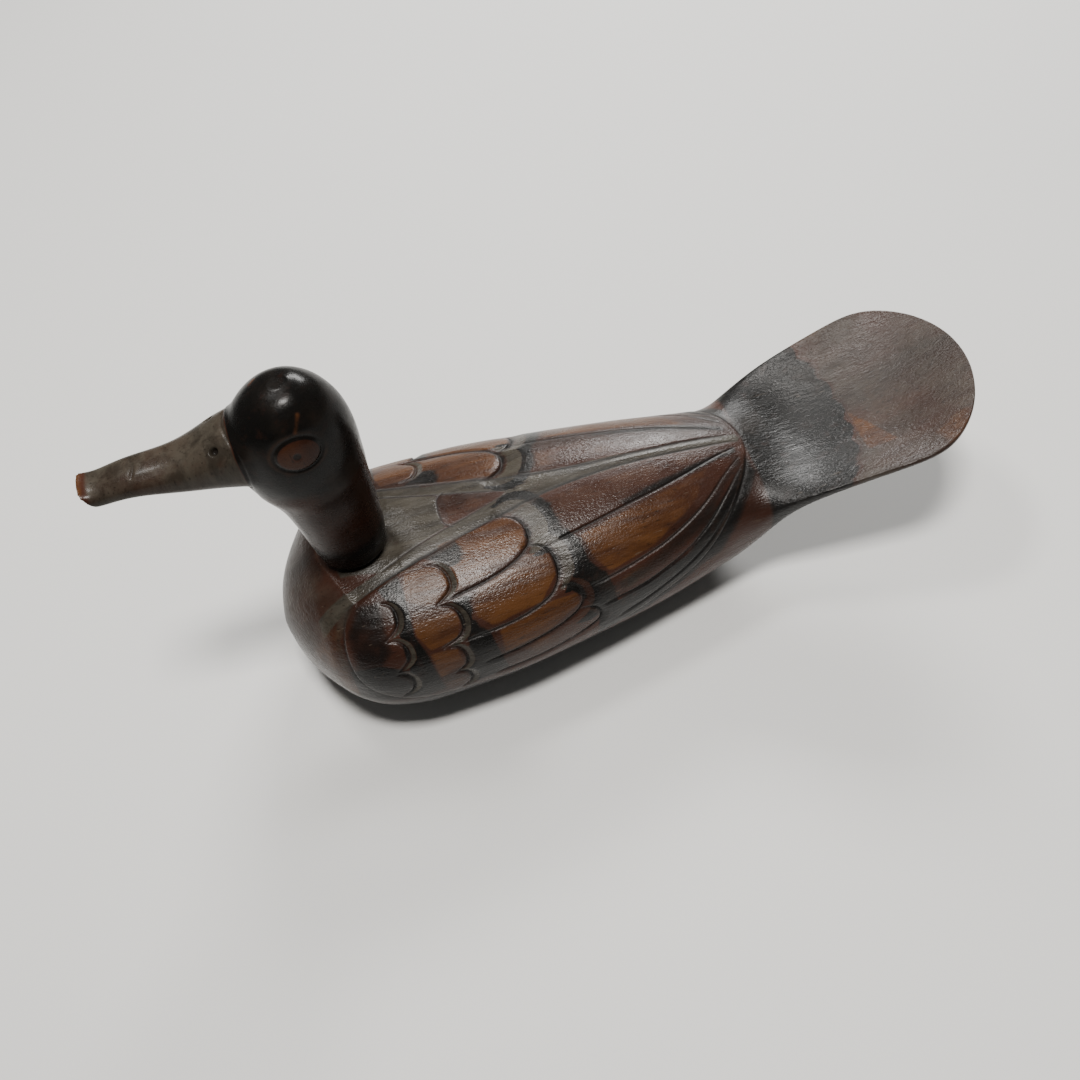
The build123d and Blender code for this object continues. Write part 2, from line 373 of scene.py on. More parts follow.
def v_cut(points, depth, width, ends=0.06, hollow_depth=0.15, hollow_width=2.2, taper=0.0):
    line = curve_through(points)
    near, signed, share = measure(line, hollow_width * 3)
    size = fade_at_ends(share, ends) * (1 - taper * share)
    distance = abs(signed)
    across = np.clip(1 - distance * 2 / (width * (1 - taper * share)), 0, 1)
    cut_depth[near] = np.maximum(cut_depth[near], depth * size * across)
    hollow[near] += hollow_depth * size * np.exp(-(distance / hollow_width) ** 2)
    # Painted shade along the V.
    painted_shade[near] = np.maximum(painted_shade[near], size * np.exp(-(distance / (width * 0.3)) ** 2))


print("the walls of the stop cuts are", WALL, "mm wide")

# %% [markdown]
# ## Wings and feathers
# Each wing is one long outline that stands a little proud of the breast, the flank and the scoop's root.
# On it lie two rows of small scallops, a row of long rounded feathers, and flight feathers that gather at
# the waist. A ribbon separates each wing from the back.

# %% The wing's outline, and its ribbon
wing_outline = [(-47.4, 21.6), (-50.7, 23.7), (-53.0, 27.6), (-54.6, 33.5), (-54.5, 41.0), (-52.6, 48.0),
                (-49.0, 54.0), (-43.0, 59.5), (-34.0, 63.0), (-18.0, 65.5), (0.0, 65.5), (16.0, 63.0),
                (30.0, 58.5), (44.0, 51.5), (55.0, 44.0), (63.0, 36.0), (69.5, 28.0), (75.0, 20.5),
                (79.5, 13.6), (82.6, 7.0), (84.2, 0.5)]
ribbon_outer = [(-47.0, 21.4), (-38.7, 18.8), (-31.8, 16.8), (-21.7, 14.0), (-11.5, 11.2), (2.1, 7.7),
                (12.3, 5.2), (22.5, 3.5), (36.2, 2.2), (52.6, 1.9), (69.0, 1.9), (82.0, 1.5)]
ribbon_inner = [(-38.0, 15.0), (-31.5, 12.5), (-23.0, 9.4), (-15.0, 6.9), (-6.0, 4.4), (1.0, 2.2), (8.0, 0.2)]

stop_cut(wing_outline, depth=0.8, width=6.5, ends=0.09, hollow_depth=0.12)
stop_cut(ribbon_outer[::-1], depth=0.34, width=2.6, ends=0.10, hollow_depth=0.12)
v_cut(ribbon_inner, depth=0.20, width=1.0, hollow_depth=0.03, taper=0.3)
print("deepest cut so far, mm:", round(float(cut_depth.max()), 2))

# %% Two rows of small scallops
scallops = [
    [(-40.8, 24.3), (-37.9, 26.2), (-37.0, 29.6), (-38.2, 33.0), (-42.4, 35.8)],
    [(-42.2, 36.2), (-39.0, 37.2), (-37.0, 40.2), (-37.5, 43.6), (-41.8, 46.6)],
    [(-42.2, 47.0), (-39.4, 48.6), (-38.2, 52.0), (-39.2, 55.4), (-43.0, 58.0)],
    [(-25.0, 17.0), (-20.8, 18.8), (-19.0, 22.6), (-19.6, 26.4), (-24.6, 30.2)],
    [(-24.4, 30.4), (-20.2, 32.2), (-18.5, 36.4), (-20.2, 40.6), (-27.0, 43.4)],
    [(-25.4, 43.6), (-22.0, 44.8), (-20.6, 48.0), (-21.4, 51.2), (-25.4, 53.6)],
    [(-26.0, 53.8), (-22.6, 54.4), (-21.0, 57.4), (-21.6, 60.2), (-25.0, 62.4)],
]
for tip in scallops:
    stop_cut(tip[::-1], depth=1.0, width=3.1, ends=0.40, hollow_depth=0.2, pale=0.9)
print(len(scallops), "scallops on each wing")

# %% The long rounded feathers
long_feathers = [
    [(-1.5, 7.6), (3.5, 8.6), (6.6, 11.0), (8.0, 14.8), (7.6, 18.8), (4.2, 22.2), (-1.5, 25.0), (-8.0, 26.9),
     (-14.5, 28.1), (-22.0, 29.4)],
    [(5.0, 20.4), (9.6, 20.8), (12.6, 23.6), (13.6, 28.2), (12.4, 33.0), (9.6, 36.4), (4.6, 39.0),
     (-2.0, 40.9), (-9.0, 41.9), (-15.0, 42.4), (-20.6, 42.8)],
    [(11.6, 35.4), (15.6, 35.6), (18.2, 37.8), (18.5, 41.2), (16.0, 44.4), (11.0, 47.0), (4.0, 49.4),
     (-5.0, 51.4), (-16.0, 52.8)],
    [(16.2, 45.0), (19.4, 44.8), (22.2, 46.6), (22.8, 49.8), (20.2, 52.8), (13.0, 56.0), (2.0, 58.8),
     (-14.0, 60.4)],
]
TIP_PLACES, TIP_ENDS = 6, 0.35
for number, edge in enumerate(long_feathers):
    stop_cut(edge[::-1], depth=0.42, width=2.0, ends=0.08, hollow_depth=0.22)
    stop_cut(edge[:TIP_PLACES][::-1], depth=1.15 - 0.1 * number, width=8.5 - 1.9 * number, ends=TIP_ENDS,
             hollow_depth=0.15, pale=0.9 - 0.25 * number)
print(len(long_feathers), "long feathers on each wing")

# %% The flight feathers
flight_lines = [
    [(12.5, 21.6), (20.5, 20.3), (30.8, 18.2), (41.1, 15.9), (51.6, 13.4), (62.0, 10.2), (72.0, 6.6),
     (81.2, 3.6)],
    [(19.6, 38.0), (28.2, 36.6), (38.6, 33.9), (47.7, 30.7), (57.4, 25.6), (65.6, 19.9), (73.0, 13.4),
     (80.6, 7.2)],
    [(23.5, 45.6), (36.5, 43.4), (45.7, 39.8), (55.0, 34.6), (63.3, 28.0), (70.3, 20.9), (76.0, 14.8),
     (80.4, 9.6)],
    [(28.0, 54.6), (37.0, 51.2), (45.5, 46.6), (54.2, 40.6), (62.6, 33.4), (69.6, 25.8), (75.0, 19.0)],
]
for quill in flight_lines:
    v_cut(quill, depth=0.52, width=1.6, ends=0.10, hollow_depth=0.10, hollow_width=2.0, taper=0.5)
back_mark = [(-12.5, 7.2), (-15.0, 5.0), (-15.6, 2.0), (-15.8, 0.0)]
v_cut(back_mark, depth=0.18, width=0.8, ends=0.02, hollow_depth=0.02)
print(len(flight_lines), "lines divide", len(flight_lines) + 1, "flight feathers")

# %% The shelf under the neck
# In front of the neck the back ends in a crisp shallow V, and the breast is hollowed away below it.
SHELF_DEPTH, SHELF_EDGE, SHELF_REACH = 1.0, 1.8, 9.0
shelf_edge = [(-55.6, -1.0), (-55.2, 3.0), (-53.6, 7.5), (-51.2, 13.0), (-48.6, 19.4), (-47.2, 23.0)]
near, signed, share = measure(curve_through(shelf_edge), 16)
ahead = np.clip(-signed, 0, None)
hollow[near] += (SHELF_DEPTH * (1 - np.exp(-ahead / SHELF_EDGE)) * np.exp(-ahead / SHELF_REACH)
                 * np.clip((1 - share) / 0.1, 0, 1))
# The shelf's crisp edge painted paler: a painted highlight, partly wear.
wear_and_highlight[near] = np.maximum(wear_and_highlight[near], np.exp(-(signed / 0.5) ** 2) * 0.6)
print("the breast is hollowed by up to", round(float(hollow[near].max()), 2), "mm")

# %% Press the carving into the blank
# Nothing is cut where the neck's foot rests, nor on the thin blade of the scoop.
FOOT_REACH, BLADE_FROM, WAIST_FROM, BACK_ABOVE = 10.0, 92, 60, 45
seat_guard = np.clip((np.hypot(grid[:, :, 0] - PEG_X, grid[:, :, 1]) - FOOT_REACH) / 2.5, 0, 1)
blade_guard = np.clip((BLADE_FROM - chart_x) / 6, 0, 1)
waist_calm = 1 - 0.4 * np.clip((chart_x - WAIST_FROM) / 18, 0, 1)
foot_guard = np.where(grid[:, :, 2] > BACK_ABOVE, seat_guard, 1)
total_cut = (cut_depth * waist_calm + hollow) * blade_guard * foot_guard
front_pole = grid[0].mean(axis=0)
rear_pole = grid[-1].mean(axis=0)
carved = grid - outward * total_cut[:, :, None]
print("cut between 0 and", round(float(total_cut.max()), 2), "mm deep")

# %% [markdown]
# ## Stains
# The carver coloured the wood in zones and then polished through them. Each zone is stored on the
# vertices as a soft patch between 0 and 1, on the same chart as the carving, and the wood material
# blends its colours by these patches. Using the chart keeps every colour edge on its feather.


# %% Soft patches on the chart
def patch(corners, softness=1.2, signed_chart=False):
    """A polygon on the chart: 1 inside, 0 outside, with a soft edge."""
    across = chart_v if signed_chart else chart_w
    corners = np.array(corners, dtype=float)
    inside = np.zeros(chart_x.shape, dtype=bool)
    distance = np.full(chart_x.shape, 1e9)
    for a, b in zip(corners, np.roll(corners, -1, axis=0)):
        way = b - a
        t = np.clip(((chart_x - a[0]) * way[0] + (across - a[1]) * way[1]) / (way @ way), 0, 1)
        distance = np.minimum(distance, np.hypot(chart_x - a[0] - t * way[0], across - a[1] - t * way[1]))
        crosses = (a[1] > across) != (b[1] > across)
        with np.errstate(divide="ignore", invalid="ignore"):
            edge_x = a[0] + (across - a[1]) * way[0] / way[1]
        inside ^= crosses & (chart_x < edge_x)
    return 1 / (1 + np.exp(-np.clip(np.where(inside, distance, -distance) / softness * 4, -30, 30)))


ON_TOP = np.arange(grid.shape[1]) < TOP_COLUMNS
print("columns over the back:", int(ON_TOP.sum()), "of", len(ON_TOP))

# %% Amber, where the polish wore through the dark stain
WAIST_FADE = 0.62
amber = np.zeros(chart_x.shape)
for strength, corners in [
    (0.42, [(-43, 27), (-38.5, 26.5), (-37.6, 34), (-41, 37), (-46, 38), (-46, 30)]),
    (0.30, [(-46, 37), (-38.6, 38), (-38, 44), (-46, 47)]),
    (0.95, [(-31, 18), (-21, 18.4), (-20, 28), (-27, 30), (-33, 26)]),
    (1.00, [(-32, 30), (-20.5, 32), (-19.3, 36), (-21.3, 41), (-30, 43), (-33, 37)]),
    (0.75, [(-31, 43.5), (-22.4, 44.6), (-21.6, 51), (-30, 54)]),
    (0.45, [(-30, 56), (-22, 56), (-22, 61), (-30, 62)]),
    (0.95, [(-19, 12), (3, 8.6), (7.4, 13), (6.6, 20), (-8, 26), (-22, 28.4)]),
    (1.00, [(-12, 29), (8, 22), (12.4, 24.6), (12.6, 31), (6, 38), (-10, 41), (-14, 36)]),
    (0.90, [(-9, 42.4), (10, 38.5), (17.6, 38), (17.4, 42), (6, 48), (-9, 51)]),
    (0.40, [(-4, 52), (14, 47), (21.6, 46.6), (20, 52), (0, 58)]),
    (0.42, [(16, 6), (60, 3.4), (58, 9), (30, 16), (22, 18), (15, 13)]),
    (0.60, [(56, 4.0), (76, 2.4), (76, 4.6), (60, 8.0)]),
    (0.95, [(23, 21.4), (34, 19.0), (52, 14.5), (70, 9), (62, 20), (44, 31), (29, 34.5), (25, 29)]),
    (0.50, [(31, 38), (50, 31), (64, 22), (58, 30), (48, 38), (32, 43)]),
]:
    amber = np.maximum(amber, strength * patch(corners, softness=1.4))
toward_waist = np.clip((chart_x - 34) / 40, 0, 1)
amber = amber * (1 - WAIST_FADE * toward_waist)
print("share of amber wood:", round(float((amber > 0.4).mean()), 2))

# %% Black, between the feathers and under the wing
black = np.maximum.reduce([
    0.95 * patch([(-40, 20.0), (-33, 17.6), (-32.5, 24), (-33, 37), (-31, 43), (-29.5, 60), (-38, 62),
                  (-56, 58), (-56, 40), (-46, 42), (-38, 47), (-37.5, 26)], softness=1.8),
    0.95 * patch([(-19.5, 30), (-14, 29.4), (-15.5, 37), (-11, 43), (-9, 60), (-22, 62), (-21, 50),
                  (-18.5, 44)], softness=1.2),
    0.66 * patch([(-47, 22), (-40, 23), (-40, 40), (-46, 44), (-54, 42), (-54, 30)], softness=3.0),
    0.95 * patch([(-24, 14.9), (-18, 13.2), (-13.5, 12.0), (-12, 15), (-14, 19.5), (-18, 20), (-20, 17.4)],
                 softness=1.2),
    0.80 * patch([(4, 6.6), (12, 5.2), (18, 9), (20, 19), (23, 22), (24, 30), (28, 35), (29, 45), (33, 57),
                  (20, 62), (22, 50), (18, 40), (13, 35), (13, 24), (7, 20), (8, 13)], softness=1.2),
    0.70 * patch([(36, 14.6), (60, 8.6), (80, 3.2), (80, 6), (62, 11.5), (40, 16.6)], softness=2.2),
    0.70 * patch([(30, 45), (54, 35.5), (80, 10), (82, 6), (84, 14), (66, 40), (34, 62), (30, 60)],
                 softness=2.5),
    0.55 * patch([(58, 25), (80, 6), (81, 10), (64, 27), (46, 39), (30, 44), (30, 39)], softness=3.0),
])
print("share of black wood on the body:", round(float((black > 0.5).mean()), 2))

# %% Olive ribbons, and the brown breast
olive = np.maximum.reduce([
    1.0 * patch([(-47, 21.4), (-31.8, 16.9), (-11.5, 11.1), (2.1, 7.6), (22.5, 3.4), (52, 1.9), (82, 1.6),
                 (84, -1), (8, -1), (1, 2.4), (-15, 7.0), (-31.5, 12.6), (-38, 15), (-60, 20), (-60, 26)],
                softness=0.9),
    0.75 * patch([(-52, -1), (-16, -1), (-15, 6.5), (-38, 15), (-50, 12)], softness=1.2),
    0.60 * patch([(-46.5, 22), (-50, 16), (-57.5, 28), (-59.0, 42), (-55.8, 42), (-54.6, 30)], softness=1.6),
    0.55 * patch([(6, 7), (10, 6), (19, 19), (24, 22), (24, 31), (14, 33), (13, 24), (8, 18)], softness=1.2),
])
amber = np.maximum(amber, 0.45 * patch([(-14.5, -1), (4, -1), (0, 2.0), (-14, 6.2)], softness=0.9))
breast = 1 - patch([(-57, -1), (-52.6, 10), (-48, 22), (-55, 30), (-56, 44), (-46, 60), (-20, 70),
                    (90, 70), (90, -1)], softness=2.5)
breast = breast * np.clip((-44 - chart_x) / 6, 0, 1)
breast_sides = breast * np.clip((chart_w - 16) / 12, 0, 1) * np.clip((62 - chart_w) / 10, 0, 1)
amber = np.maximum(amber, breast_sides * 0.55)
print("vertices on the breast:", int((breast > 0.5).sum()))

# %% The scoop's black root, its scalloped stain edge and its wear
STAIN_EDGE, STAIN_BOW, STAIN_WAVE, STAIN_PITCH = 117.3, 0.010, 1.9, 9.0
blade = np.clip((chart_x - 82) / 3, 0, 1)
waves = abs(np.sin((chart_v - 4) * math.pi / STAIN_PITCH))
scallop_edge = STAIN_EDGE - STAIN_BOW * chart_v ** 2 + STAIN_WAVE * waves
blade_brown = np.clip((chart_x - scallop_edge) / 1.2, 0, 1) * blade
black = np.maximum(black, 0.82 * blade * (1 - blade_brown))
olive = np.maximum.reduce([olive, 0.48 * blade, 0.42 * breast])
beneath = ~ON_TOP[None, :] & (chart_w > 64) & (chart_x < 84)
black = np.maximum(black, np.where(beneath, 0.75, 0))
for strength, softness, corners in [(0.85, 1.6, [(119.4, 1), (118.4, 20), (128, 21), (123.5, 9)]),
                                    (0.62, 3.0, [(136, 25), (137, 34), (150, 34), (152, 23), (145, 21)]),
                                    (0.35, 5.0, [(113, -31), (124, -33), (122, -18), (118, -12)]),
                                    (0.30, 7.0, [(122, -20), (150, -20), (152, 20), (124, 20)])]:
    scoop_wear = patch(corners, softness, signed_chart=True)
    amber = np.maximum(amber, strength * scoop_wear * ON_TOP[None, :])
print("vertices on the scoop:", int((blade > 0.5).sum()))

# %% Black bands beyond the long feathers' tips, and painted highlights in the gouges
BAND_FROM, BAND_EDGE = 3.0, 0.6
for number, edge in enumerate(long_feathers[:3]):
    near, signed, share = measure(curve_through(edge[:TIP_PLACES][::-1]), 12)
    size = fade_at_ends(share, TIP_ENDS)
    beyond = np.clip((signed - BAND_FROM) / BAND_EDGE, 0, 1)
    band = beyond * np.clip((size * (11.0 - 1.6 * number) - signed) / BAND_EDGE, 0, 1)
    black[near] = np.maximum(black[near], band * 0.9)
# The gouges' painted highlight takes the olive colour, in place of black and amber.
olive = np.maximum(olive * (1 - black), gouge_highlight)
black, amber = black * (1 - gouge_highlight), amber * (1 - gouge_highlight)
print("share of black wood:", round(float((black > 0.5).mean()), 2))

# %% [markdown]
# ## From the grid to a solid
# The grid closes round each ring, and a single point closes each end. The hole for the neck's peg is
# then cut with a Boolean modifier, as a drill would, so the peg has a real hole to stand in.


# %% Build a closed mesh with its patches
def store(mesh, name, values):
    layer = mesh.attributes.new(name, "FLOAT", "POINT")
    layer.data.foreach_set("value", np.asarray(values, dtype=np.float32).ravel())


def grid_mesh(name, places, patches, first_pole, last_pole):
    rows, columns = places.shape[:2]
    points = np.vstack([places.reshape(-1, 3), first_pole, last_pole]) * MM
    corner = np.arange(rows * columns).reshape(rows, columns)
    after = np.roll(corner, -1, axis=1)
    quads = np.stack([corner[:-1], corner[1:], after[1:], after[:-1]], axis=-1).reshape(-1, 4)
    faces = quads.tolist()
    pole = rows * columns
    faces += [(pole, corner[0, k], after[0, k]) for k in range(columns)]
    faces += [(pole + 1, after[-1, k], corner[-1, k]) for k in range(columns)]
    mesh = bpy.data.meshes.new(name)
    mesh.from_pydata(points.tolist(), [], faces)
    for key, values in patches.items():
        store(mesh, key, np.concatenate([values.ravel(), [values[0].mean(), values[-1].mean()]]))
    mesh.validate()
    return mesh


def signed_volume(mesh):
    mesh.calc_loop_triangles()
    corners = np.empty(len(mesh.loop_triangles) * 3, dtype=np.int64)
    mesh.loop_triangles.foreach_get("vertices", corners)
    places = np.empty(len(mesh.vertices) * 3)
    mesh.vertices.foreach_get("co", places)
    a, b, c = places.reshape(-1, 3)[corners].reshape(-1, 3, 3).transpose(1, 0, 2)
    return float(np.einsum("ij,ij->i", a, np.cross(b, c)).sum() / 6)


patches = {
    "matte": blade,
    "amber": amber,
    "black": black,
    "olive": olive,
    # The cuts carry painted shade, and raised edges are painted paler, partly wear and partly painted
    # highlight.
    "painted_shade": painted_shade * blade_guard,
    "wear_and_highlight": wear_and_highlight * blade_guard,
}
body_mesh = grid_mesh("carved_body", carved, patches, front_pole, rear_pole)
if signed_volume(body_mesh) < 0:
    body_mesh.flip_normals()
CUBIC_CM = 1000 * MM ** 3
print("carved body:", round(signed_volume(body_mesh) / CUBIC_CM, 1), "cc,", len(body_mesh.polygons), "faces")


# %% Drill the peg hole
def plain_mesh(thing, name):
    bpy.context.view_layer.update()
    graph = bpy.context.evaluated_depsgraph_get()
    mesh = bpy.data.meshes.new_from_object(thing.evaluated_get(graph))
    mesh.name = name
    thing.modifiers.clear()
    return mesh


def drill_bit(name, center, radius, low, high, sides=72):
    angles = np.linspace(0, 2 * math.pi, sides, endpoint=False)
    circle = np.column_stack([center[0] + radius * np.cos(angles), center[1] + radius * np.sin(angles)])
    points = [(x, y, z) for z in (low, high) for x, y in circle]
    faces = [tuple(range(sides))[::-1], tuple(range(sides, 2 * sides))]
    faces += [(k, (k + 1) % sides, sides + (k + 1) % sides, sides + k) for k in range(sides)]
    mesh = bpy.data.meshes.new(name)
    mesh.from_pydata((np.array(points) * MM).tolist(), [], faces)
    bit = bpy.data.objects.new(name, mesh)
    bpy.context.collection.objects.link(bit)
    return bit


HOLE_CLEARANCE, HOLE_ROOM, BIT_RISE = 0.1, 1.0, 8
MOST_TRIANGLES = 196000
carved_body = bpy.data.objects.new("carved_body", body_mesh)
bpy.context.collection.objects.link(carved_body)
bit = drill_bit("drill_bit", (PEG_X, 0), PEG_RADIUS + HOLE_CLEARANCE,
                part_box("neck_peg")[0][2] / MM - HOLE_ROOM, SEAT_HEIGHT + BIT_RISE)
drilling = carved_body.modifiers.new("Peg hole", "BOOLEAN")
drilling.operation = "DIFFERENCE"
drilling.solver = "EXACT"
drilling.object = bit
thinning = carved_body.modifiers.new("Thinning", "DECIMATE")
thinning.ratio = MOST_TRIANGLES / (2 * len(body_mesh.polygons))
carved_body.data = plain_mesh(carved_body, "carved_body")
bpy.data.objects.remove(bit)
print("after drilling:", len(carved_body.data.polygons), "faces")

# %% [markdown]
# ## The head and neck
# The head has no long axis that rings could follow, so its blank is the design solid, remeshed into small
# even squares (a voxel remesh) and smoothed, as sanding would. The eyes, the nostrils and the step at the
# bill's root are then pressed in by moving points along their normals.

# %% Read and write the points of a mesh
def read_points(mesh, what="co"):
    values = np.empty(len(mesh.vertices) * 3)
    mesh.vertices.foreach_get(what, values)
    return values.reshape(-1, 3)


def write_points(mesh, places):
    mesh.vertices.foreach_set("co", (places * MM).ravel())
    mesh.update()


print("the carved body has", len(read_points(carved_body.data)), "points")

# %% Remesh the head's blank
VOXEL = 0.36
SANDING = 12

head_points, head_faces = cad_triangles("head_and_neck")
blank = bpy.data.meshes.new("carved_head")
blank.from_pydata((head_points * MM).tolist(), [], head_faces.tolist())
carved_head = bpy.data.objects.new("carved_head", blank)
bpy.context.collection.objects.link(carved_head)
remesh = carved_head.modifiers.new("Even squares", "REMESH")
remesh.mode = "VOXEL"
remesh.voxel_size = VOXEL * MM
sanding = carved_head.modifiers.new("Sanding", "SMOOTH")
sanding.factor = 0.5
sanding.iterations = SANDING
carved_head.data = plain_mesh(carved_head, "carved_head")
print("head blank:", len(carved_head.data.polygons), "faces")

# %% Blend the bill into the cheeks and the forehead
# A vertex group says how much a Smooth modifier may move each point. Where two rounds meet, smoothing
# fills the crease between them.
BLEND_X, BLEND_REACH, BLEND_FLOOR = -60.0, 6.5, 101.0
BLEND_FADE = 6
BLEND_PASSES, LEVELS = 260, 20

blank_places = read_points(carved_head.data) / MM
blend_share = np.exp(-((blank_places[:, 0] - BLEND_X) / BLEND_REACH) ** 2)
blend_share *= np.clip((blank_places[:, 2] - BLEND_FLOOR) / BLEND_FADE, 0, 1)
levels = np.round(blend_share * LEVELS).astype(int)
cheeks = carved_head.vertex_groups.new(name="cheeks")
for level in range(1, LEVELS + 1):
    cheeks.add(np.flatnonzero(levels == level).tolist(), level / LEVELS, "REPLACE")
blending = carved_head.modifiers.new("Blending", "SMOOTH")
blending.factor = 0.5
blending.iterations = BLEND_PASSES
blending.vertex_group = cheeks.name
carved_head.data = plain_mesh(carved_head, "carved_head")
carved_head.vertex_groups.clear()
print("blended around the bill's root:", int((levels > 0).sum()), "points")


# %% A soft spot on the head
def ball(center, radius, softness):
    """1 within the radius of a place, 0 beyond it, on both sides of the head. softness: of its edge."""
    distance = np.hypot(np.hypot(head_x - center[0], abs(head_y) - center[1]), head_z - center[2])
    return np.clip((radius - distance) / (radius * softness) + 0.5, 0, 1)


head_places = read_points(carved_head.data) / MM
head_normals = read_points(carved_head.data, "normal")
head_x, head_y, head_z = head_places.T
on_skin = np.hypot(head_x - PEG_X, head_y) > PEG_RADIUS + 0.5
on_skin |= head_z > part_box("neck_peg")[1][2] / MM + 3
print("head reaches from", head_places.min(axis=0).round(1), "to", head_places.max(axis=0).round(1))

# %% Eyes, nostrils and the bill
EYE = (-44.3, 115.2)
EYE_RADIUS, EYE_LENGTH, PUPIL_RADIUS = 5.4, 1.2, 1.5
HOLLOW_DEPTH, DOME_DEPTH, PUPIL_DEPTH, NOSTRIL_DEPTH, STEP_DEPTH = 0.22, 0.12, 0.25, 1.3, 0.20
from_eye = np.hypot((head_x - EYE[0]) / EYE_LENGTH, head_z - EYE[1])
beside_eye = (abs(head_y) > 6).astype(float)
eye_hollow = HOLLOW_DEPTH * np.exp(-((from_eye - EYE_RADIUS - 0.2) / 1.2) ** 2)
eye_dome = DOME_DEPTH * np.clip(from_eye / EYE_RADIUS, 0, 1) ** 2 * (from_eye < EYE_RADIUS)
from_pupil = np.hypot(head_x - EYE[0] + 0.4, head_z - EYE[1])
pupil = np.clip((PUPIL_RADIUS - from_pupil) / 0.8, 0, 1) * beside_eye
NOSTRIL, NOSTRIL_RADIUS = (-64.9, 5.9, 118.1), 1.05
nostril = ball(NOSTRIL, NOSTRIL_RADIUS, 0.6)
BILL_LINE_X = -60.0
bill = np.clip((BILL_LINE_X - head_x) / 0.8 + 0.5, 0, 1)
bill_step = STEP_DEPTH * bill * np.exp(-np.clip(BILL_LINE_X - head_x, 0, None) / 5)
press = (eye_hollow + eye_dome) * beside_eye + NOSTRIL_DEPTH * nostril + bill_step + PUPIL_DEPTH * pupil
head_places = head_places - head_normals * (press * on_skin)[:, None]
write_points(carved_head.data, head_places)
print("deepest press on the head, mm:", round(float(press.max()), 2))

# %% The head's patches of stain
def rub(start, end, radius):
    """A thin worn streak between two places, on both sides of the head."""
    start, way = np.array(start), np.array(end) - np.array(start)
    spots = np.column_stack([head_x, abs(head_y), head_z]) - start
    t = np.clip(spots @ way / (way @ way), 0, 1)
    return np.exp(-(np.linalg.norm(spots - t[:, None] * way, axis=1) / radius) ** 2)


BILL_TIP_X, NECK_BROWN_TOP, NECK_BROWN_FOOT = -99.3, 104, 60
crown_rub = 0.7 * rub((-41.0, 8.4, 124.8), (-43.0, 10.9, 121.6), 1.1)
crown_rub = np.maximum(crown_rub, 0.8 * rub((-50.6, 4.0, 127.0), (-49.4, 5.0, 127.2), 1.0) * (head_y > 0))
bill_tip = np.clip((BILL_TIP_X - head_x) / 2.2, 0, 1)
bill_under = bill * np.clip((110.5 - head_z) / 5, 0, 1)
neck_brown = np.clip((NECK_BROWN_TOP - head_z) / 8, 0, 1) * np.clip((head_z - NECK_BROWN_FOOT) / 8, 0, 1)
neck_brown = neck_brown * (1 - bill)
eye_brown = np.clip((EYE_RADIUS - 0.4 - from_eye) / 0.8, 0, 1) * beside_eye
# A thin ring outside each eye's cut, painted paler later as a painted highlight.
eye_rim_highlight = np.exp(-((from_eye - EYE_RADIUS - 0.9) / 0.4) ** 2) * beside_eye
dark_skin = np.clip(0.92 - bill - neck_brown * 0.45 - eye_brown - crown_rub, 0, 1)
eye_amber = eye_brown * 0.38 * (1 - pupil)
head_patches = {
    "amber": np.maximum.reduce([crown_rub, bill_tip * 0.62, neck_brown * 0.22, eye_amber]),
    "black": dark_skin + pupil * 0.9 + bill_under * 0.5,
    "olive": bill * 0.62 * (1 - bill_tip),
    "matte": bill * 0.5,
    # Painted shade in the nostrils.
    "painted_shade": nostril * on_skin,
    # The pale ring round each eye is a painted highlight.
    "wear_and_highlight": eye_rim_highlight * on_skin * 0.4,
}
for key, values in head_patches.items():
    store(carved_head.data, key, values)
print("patches on the head:", ", ".join(head_patches))

# %% [markdown]
# ## Knife lines by Geometry Nodes
# Thin knife lines cross the head: one around the root of the bill, one across its nail, and a ring round
# each eye. They all follow a path over a surface, so one Geometry Nodes tree cuts them: it measures how
# far each point lies from the paths, presses the near ones in along a V, and paints shade into the V.


# %% Lay the paths on the surface
def snapped_path(places, tree, mesh_points, edges, closed=False):
    start = len(mesh_points)
    for place in places:
        mesh_points.append(tuple(tree.find_nearest(Vector(place) * MM)[0]))
    edges += [(k, k + 1) for k in range(start, len(mesh_points) - 1)]
    if closed:
        edges.append((len(mesh_points) - 1, start))


def curve_3d(points, count=40):
    points = np.array(points, dtype=float)
    padded = with_ends(points)
    t = np.linspace(0, len(points) - 1 - 1e-6, count)
    k = t.astype(int)
    t = (t - k)[:, None]
    a, b, c, d = (padded[k + shift] for shift in range(4))
    return between(a, b, c, d, t)


bill_root = [(-61.6, 0.0, 121.2), (-60.8, 3.4, 120.4), (-59.9, 6.6, 119.0), (-59.1, 9.8, 115.8),
             (-59.2, 10.2, 110.0), (-59.8, 8.8, 104.0), (-60.4, 5.6, 100.6)]
nail_line = [(-86.6, 0.0, 116.0), (-87.0, 1.6, 115.9), (-87.6, 3.4, 115.5)]
graph = bpy.context.evaluated_depsgraph_get()
head_tree = BVHTree.FromObject(carved_head, graph)
line_points, line_edges = [], []
for side in (1, -1):
    mirror = np.array([1, side, 1])
    for cut in (bill_root, nail_line):
        snapped_path(curve_3d(cut) * mirror, head_tree, line_points, line_edges)
    ring = [(EYE[0] + EYE_RADIUS * EYE_LENGTH * math.cos(a), side * 16, EYE[1] + EYE_RADIUS * math.sin(a))
            for a in np.linspace(0, 2 * math.pi, 72, endpoint=False)]
    sideways = []
    for x, y, z in ring:
        spot = head_tree.ray_cast(Vector((x, y, z)) * MM, Vector((0, -side, 0)))[0]
        sideways.append(tuple(spot / MM))
    snapped_path(sideways, head_tree, line_points, line_edges, closed=True)
path_mesh = bpy.data.meshes.new("knife_paths")
path_mesh.from_pydata(line_points, line_edges, [])
knife_paths = bpy.data.objects.new("knife_paths", path_mesh)
bpy.context.collection.objects.link(knife_paths)
print(len(line_edges), "short steps of knife line")


